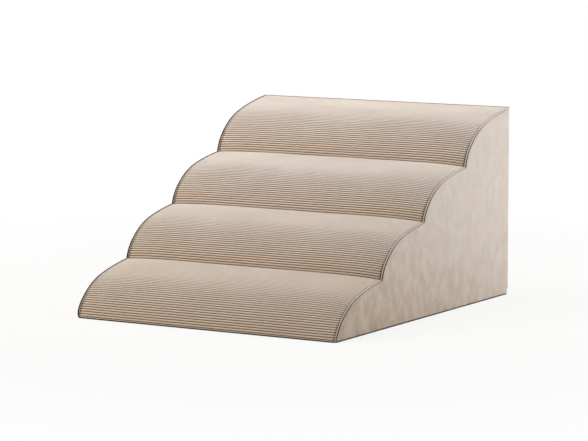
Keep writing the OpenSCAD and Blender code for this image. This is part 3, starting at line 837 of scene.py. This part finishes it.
def side_panels():
    grid = side_grid()
    outline = np.concatenate([grid[0], [[BACK_Y, FLOOR_TOP], [-BACK_Y, FLOOR_TOP]]])
    distance = edge_distance(grid, resampled(outline, OUTLINE_SPACING))
    wander = SIDE_WANDER * ripple(grid[..., 0], grid[..., 1] * SIDE_WANDER_STRETCH, SIDE_SEED)
    face = SIDE_OUT + side_face(distance) + wander * eased(distance / SIDE_WANDER_REACH)
    for label, side in SIDES:
        outer = np.concatenate([side * face[..., None], grid], -1)
        inner = np.concatenate([np.full_like(face, side * SIDE_IN)[..., None], grid], -1)
        pair = (outer, inner) if side < 0 else (outer[:, ::-1], inner[:, ::-1])
        piece = slab(f"plush_side_{label}", PLUSH, *[soft_corners(p) for p in pair])
        finished(piece, "stairs", "plush", f"side_panel_{label}")


def side_stitches(label, side):
    line, _, headings = side_line(STITCH_PITCH, SIDE_TOP_N - SIDE_STITCH_IN)
    line, headings = line[STITCHES_WITHIN], headings[STITCHES_WITHIN]
    x = np.full((len(line), 1), side * (SIDE_OUT + side_face(SIDE_STITCH_IN) + SIDE_STITCH_OUT))
    runs = np.concatenate([np.zeros((len(line), 1)), along(headings)], -1)
    ups = np.tile(side * X_AXIS, (len(line), 1))
    stitches(f"seam_stitches_{label}", np.concatenate([x, line], -1), runs, ups)


# Cover: back and zip tapes

BACK_T = 2 * MM
BACK_BULGE = 1.2 * MM
BACK_BULGE_REACH = 30 * MM
BACK_ROLL = 1.4 * MM
BACK_ROLL_REACH = 1.6 * MM
# Grid lines close to an edge, and counts of the wider ones between edges
NEAR_LINES = np.array([0, 0.3, 0.8, 1.6]) * MM
END_COLUMNS = 10
WINDOW_COLUMNS = 60
BACK_ROWS = 8
UPPER_ROWS = 26
LOWER_ROWS = 10
# Room between the window and what lies in it: the slider and the two kinds of stops
WINDOW_GAP = 0.9 * MM
BOTTOM_STOP_GAP = 0.3 * MM
TOP_STOP_GAP = 0.2 * MM
ZIP_STITCH_IN = 3 * MM
ZIP_STITCH_OUT = 0.25 * MM
# The grid and the twill of the tapes
TAPE_COLUMNS = 160
TAPE_ROWS = 9
TWILL_DEPTH = 0.05 * MM
TWILL_PITCH = 4 * MM


def back_face(x, z, low, high):
    """Depth of the back's soft face, which rolls in at the panel's edges."""
    to_edge = np.minimum(CORE_HALF - np.abs(x), np.minimum(z - low, high - z)).clip(0, None)
    out = bulged(to_edge, BACK_BULGE_REACH, BACK_BULGE)
    return BACK_Y + out - rolled(to_edge, BACK_ROLL_REACH, BACK_ROLL)


def lines_between(low, high, count):
    """Grid lines from low to high, closer together at both ends."""
    middle = np.linspace(low + NEAR_LINES[-1], high - NEAR_LINES[-1], count)[1:-1]
    return np.concatenate([low + NEAR_LINES, middle, high - NEAR_LINES[::-1]])


def zip_window():
    """Limits in X and in Z of the opening that the slider runs in."""
    slider_low, slider_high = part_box("zip_slider")
    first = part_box("zip_bottom_stop")[0].x - BOTTOM_STOP_GAP
    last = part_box("zip_top_stops")[1].x + TOP_STOP_GAP
    return (first, last), (slider_low.z - WINDOW_GAP, slider_high.z + WINDOW_GAP)


def back_piece(name, node, x, window_rows, window_x, window_z):
    """One panel of the back, without the cells of its grid that lie in the window."""
    low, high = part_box(node)[0].z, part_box(node)[1].z
    z = grid_lines(np.concatenate([lines_between(low, high, BACK_ROWS), window_rows]))
    grid_x, grid_z = np.meshgrid(x, z)
    middle_x, middle_z = (x[:-1] + x[1:]) / 2, (z[:-1] + z[1:]) / 2
    in_x = (middle_x > window_x[0]) & (middle_x < window_x[1])
    in_z = (middle_z > window_z[0]) & (middle_z < window_z[1])
    keep = ~(in_z[:, None] & in_x[None, :])
    y = back_face(grid_x, grid_z, low, high)
    outer = np.stack([grid_x, y, grid_z], -1)
    inner = np.stack([grid_x, np.full_like(y, BACK_Y - BACK_T), grid_z], -1)
    piece = slab(name, PLUSH, outer[:, ::-1], inner[:, ::-1], keep=keep[:, ::-1])
    finished(piece, "stairs", "plush", node)


def back():
    window_x, window_z = zip_window()
    x = np.concatenate([
        lines_between(-CORE_HALF, window_x[0], END_COLUMNS)[:-1],
        lines_between(*window_x, WINDOW_COLUMNS),
        lines_between(window_x[1], CORE_HALF, END_COLUMNS)[1:],
    ])
    over = lines_between(window_z[1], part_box("back_panel")[1].z, UPPER_ROWS)
    under = lines_between(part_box("back_hem")[0].z, window_z[0], LOWER_ROWS)
    back_piece("back_upper", "back_panel", x, over, window_x, window_z)
    back_piece("back_lower", "back_hem", x, under, window_x, window_z)
    x = np.arange(window_x[0] + ZIP_STITCH_IN, window_x[1] - ZIP_STITCH_IN, STITCH_PITCH)
    runs, ups = np.tile(X_AXIS, (len(x), 1)), np.tile(Y_AXIS, (len(x), 1))
    for label, z in (("upper", window_z[1] + ZIP_STITCH_IN), ("lower", window_z[0] - ZIP_STITCH_IN)):
        points = np.stack([x, np.full_like(x, BACK_Y + ZIP_STITCH_OUT), np.full_like(x, z)], -1)
        stitches(f"zip_stitches_{label}", points, runs, ups)


def zip_tapes():
    for label in ("upper", "lower"):
        low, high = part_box(f"zip_tape_{label}")
        x = np.linspace(low.x, high.x, TAPE_COLUMNS)
        z = np.linspace(low.z, high.z, TAPE_ROWS)
        grid_x, grid_z = np.meshgrid(x, z)
        twill = TWILL_DEPTH * np.abs(np.sin(grid_x * 2 * math.pi / TWILL_PITCH))
        outer = np.stack([grid_x, high.y - twill, grid_z], -1)
        inner = np.stack([grid_x, np.full_like(grid_x, low.y), grid_z], -1)
        piece = slab(f"zip_tape_{label}_cloth", TAPE, outer[:, ::-1], inner[:, ::-1])
        finished(piece, "stairs", "zip_tape", f"zip_tape_{label}")


# Base: the non-slip sheet and its grip dots

BASE_CORNER_R = 9 * MM
BASE_CORNER_FLATS = 10
DOT_PITCH = 14 * MM
DOT_MARGIN = 12 * MM
DOT_R = 2.2 * MM
DOT_H = 0.6 * MM
DOT_SIDES = 8
# Shares of a dot's height and radius, from the floor up
DOT_PROFILE_SHARES = ((0, 0.5), (0.35, 0.86), (1, 1))
# Heights of the sheet's rings above the floor, each with how far it is drawn in
BASE_PROFILE = (
    (DOT_H, 0.4 * MM),
    (DOT_H + 0.15 * MM, 0.1 * MM),
    (DOT_H + 0.5 * MM, 0),
    (BASE_TOP - 0.4 * MM, 0),
    (BASE_TOP, 0.3 * MM),
)


def rounded_outline(half_x, half_y, radius):
    """Points of a rounded rectangle, counterclockwise as seen from above."""
    angles = np.linspace(0, math.pi / 2, BASE_CORNER_FLATS + 1)
    corners = []
    for turn, (sx, sy) in enumerate(((1, 1), (-1, 1), (-1, -1), (1, -1))):
        centre = np.array([sx * (half_x - radius), sy * (half_y - radius)])
        corners.append(centre + radius * along(angles + turn * math.pi / 2))
    return np.concatenate(corners)


def base_sheet():
    outline = rounded_outline(SIDE_OUT, BACK_Y, BASE_CORNER_R)
    rings = [
        np.concatenate([outline * (1 - inset / SIDE_OUT), np.full((len(outline), 1), z)], -1)
        for z, inset in BASE_PROFILE
    ]
    finished(ring_solid("base_sheet", BASE, rings), "stairs", "non_slip", "non_slip_base")


def dot_centres():
    """Staggered rows of dots over the whole base."""
    row_pitch = DOT_PITCH * math.sqrt(3) / 2
    rows = int(2 * (BACK_Y - DOT_MARGIN) / row_pitch) + 1
    found = []
    for row in range(rows):
        shift = DOT_PITCH / 2 * (row % 2)
        x = np.arange(-SIDE_OUT + DOT_MARGIN + shift, SIDE_OUT - DOT_MARGIN, DOT_PITCH)
        found.append(np.stack([x, np.full_like(x, -BACK_Y + DOT_MARGIN + row * row_pitch)], -1))
    return np.concatenate(found)


def grip_dots():
    centres = dot_centres()
    spokes = DOT_R * np.concatenate(circle(DOT_SIDES), -1)
    rings = []
    for height_share, radius_share in DOT_PROFILE_SHARES:
        flat = centres[:, None] + radius_share * spokes
        height = np.full((len(centres), DOT_SIDES, 1), height_share * DOT_H)
        rings.append(np.concatenate([flat, height], -1))
    count = len(DOT_PROFILE_SHARES)
    faces = copies(ring_faces(count, DOT_SIDES), count * DOT_SIDES, len(centres))
    dots = new_object("grip_dots", np.stack(rings, 1).reshape(-1, 3), faces, RUBBER)
    finished(dots, "stairs", "non_slip")


# Inside: wadding and foam

WADDING_ROWS = 40
# Columns of the wadding's grid, as shares of the half width, closer where the crown falls
WADDING_COLUMN_SHARES = np.concatenate([np.linspace(0, 0.75, 6), np.linspace(0.8, 1, 9)])
FOAM_SPACING = 5 * MM
# Room in the foam for the zip's tape and slider
TAPE_ROOM = 2 * MM
SLIDER_ROOM = 1 * MM


def wadding():
    """A layer with a crowned top on a plain underside."""
    x = grid_lines(mirrored(WADDING_COLUMN_SHARES * CORE_HALF))
    outer, inner = [], []
    for step in steps:
        s = np.linspace(step.first, step.final, WADDING_ROWS)[: None if step.i == LAST else -1]
        top = np.full((len(s), len(x)), WADDING_TOP - LAYER_GAP)
        outer.append(step.surface(s, x, top))
        inner.append(step.surface(s, x, top - WADDING_T + 2 * LAYER_GAP, crowned=False))
    piece = slab("wadding", WADDING, np.concatenate(outer), np.concatenate(inner))
    finished(piece, "stairs", "wadding", "wadding_layer")


def foam_block():
    """The stepped block, cut away behind the zip."""
    room_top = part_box("zip_tape_upper")[1].z + TAPE_ROOM
    room_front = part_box("zip_slider")[0].y - SLIDER_ROOM
    line = side_line(FOAM_SPACING, FOAM_TOP - LAYER_GAP)[0]
    line = line[line[:, 1] > FLOOR_TOP]
    outline = np.concatenate([
        line[line[:, 0] < SEAM_Y],
        [[SEAM_Y, line[-1, 1]], [SEAM_Y, room_top], [room_front, room_top], [room_front, FLOOR_TOP]],
        [[line[0, 0], FLOOR_TOP]],
    ])
    rings = [
        np.concatenate([np.full((len(outline), 1), x), outline], -1) for x in (CORE_HALF, -CORE_HALF)
    ]
    piece = ring_solid("foam_block", FOAM, rings)
    finished(piece, "stairs", "foam", "foam_core")


# Zip: the solids keep their shape and take a finish

METAL_NODES = ("zip_slider", "zip_pull", "zip_top_stops", "zip_bottom_stop")
NYLON_NODES = ("zip_teeth_upper", "zip_teeth_lower")


def zip_materials():
    for names, material in ((METAL_NODES, metal()), (NYLON_NODES, nylon())):
        for name in names:
            slots = frame["nodes"][name].data.materials
            slots.clear()
            slots.append(material)


# Stage: camera, lights, world and floor

# The camera as fitted to the photograph: angles in radians, lens and sensor in millimetres
CAMERA_AZIMUTH = 0.53533
CAMERA_ELEVATION = 0.12570
CAMERA_DISTANCE = 6.113
CAMERA_TARGET = Vector((-0.0096, 0, 0.1764))
CAMERA_LENS = 182.4
CAMERA_REACH = 100
SENSOR = 36

# Name, place, size and power of each soft light
LIGHTS = (
    ("above", (-0.1, 0.3, 2.3), 1.7, 25.5),
    ("right", (1.4, 1.0, 1.1), 0.9, 15.5),
    ("left", (-2.4, -0.8, 2.2), 1.7, 72),
)
LIGHT_TARGET = Vector((0, 0, 0.2))
WORLD_LIGHT = 0.18

FLOOR_HALF = 30
# Share of its own shading that the floor shows near the object, and where that fades out
FLOOR_SHOW = 0.16
FLOOR_FADE = (0.7, 1.6)


def placed(name, data, place, target):
    """A camera or lamp at a place, turned to look at the target."""
    holder = bpy.data.objects.new(name, data)
    bpy.context.scene.collection.objects.link(holder)
    holder.location = place
    holder.rotation_euler = (target - place).to_track_quat("-Z", "Y").to_euler()
    return holder


def camera():
    data = bpy.data.cameras.new("camera")
    data.lens = CAMERA_LENS
    data.sensor_width = SENSOR
    data.clip_end = CAMERA_REACH
    flat = math.cos(CAMERA_ELEVATION)
    right, back_way = math.sin(CAMERA_AZIMUTH) * flat, -math.cos(CAMERA_AZIMUTH) * flat
    away = Vector((right, back_way, math.sin(CAMERA_ELEVATION)))
    place = CAMERA_TARGET + CAMERA_DISTANCE * away
    bpy.context.scene.camera = placed("camera", data, place, CAMERA_TARGET)


def softbox(name, place, size, watts):
    data = bpy.data.lights.new(name, "AREA")
    data.shape = "SQUARE"
    data.size = size
    data.energy = watts
    placed(name, data, Vector(place), LIGHT_TARGET)


def seen_directly(tree):
    """1 where the camera, a mirror or glass looks straight at this, for a plain white ground."""
    rays = add_node(tree, "LightPath").outputs
    seen = rays["Is Camera Ray"]
    for kind in ("Is Glossy Ray", "Is Transmission Ray"):
        seen = add_node(tree, "Math", {0: seen, 1: rays[kind]}, operation="MAXIMUM").outputs[0]
    return seen


def world():
    """White where it is seen, and a low even light on the object."""
    sky = bpy.data.worlds.new("studio")
    sky.use_nodes = True
    tree = sky.node_tree
    ground = tree.nodes["Background"]
    ground.inputs["Color"].default_value = (1, 1, 1, 1)
    levels = {"Value": seen_directly(tree), "To Min": WORLD_LIGHT, "To Max": 1.0}
    tree.links.new(add_node(tree, "MapRange", levels).outputs[0], ground.inputs["Strength"])
    bpy.context.scene.world = sky


def floor_paint():
    """Pale paint that looks all but white from the camera, with some of its shadows kept."""
    paint = bpy.data.materials.new("floor_paint")
    paint.use_nodes = True
    tree = paint.node_tree
    shader = tree.nodes["Principled BSDF"]
    shader.inputs["Base Color"].default_value = srgb(222, 218, 213)
    shader.inputs["Roughness"].default_value = 0.9
    shader.inputs["Specular IOR Level"].default_value = 0.1
    white = add_node(tree, "Emission", {"Color": (1, 1, 1, 1)})
    place = add_node(tree, "TexCoord").outputs["Object"]
    away = add_node(tree, "VectorMath", {0: place}, operation="LENGTH").outputs["Value"]
    near, far = FLOOR_FADE
    levels = {"Value": away, "From Min": near, "From Max": far, "To Min": 1 - FLOOR_SHOW}
    fade = add_node(tree, "MapRange", levels).outputs[0]
    share = add_node(tree, "Math", {0: seen_directly(tree), 1: fade}, operation="MULTIPLY").outputs[0]
    both = add_node(tree, "MixShader", {0: share, 1: shader.outputs[0], 2: white.outputs[0]})
    tree.links.new(both.outputs[0], tree.nodes["Material Output"].inputs["Surface"])
    return paint


def floor():
    mesh = bpy.data.meshes.new("floor")
    corners = [(x * FLOOR_HALF, y * FLOOR_HALF, 0) for x, y in ((-1, -1), (1, -1), (1, 1), (-1, 1))]
    mesh.from_pydata(corners, [], [(0, 1, 2, 3)])
    mesh.materials.append(floor_paint())
    plane = bpy.data.objects.new("floor", mesh)
    bpy.context.scene.collection.objects.link(plane)


camera()
bpy.context.scene.view_settings.view_transform = "Standard"
for each in steps:
    tread(each)
for one_side in SIDES:
    seam_cords(*one_side)
    side_stitches(*one_side)
side_panels()
back()
back_shade_cord()
zip_tapes()
base_sheet()
grip_dots()
wadding()
foam_block()
zip_materials()
world()
floor()
for light in LIGHTS:
    softbox(*light)
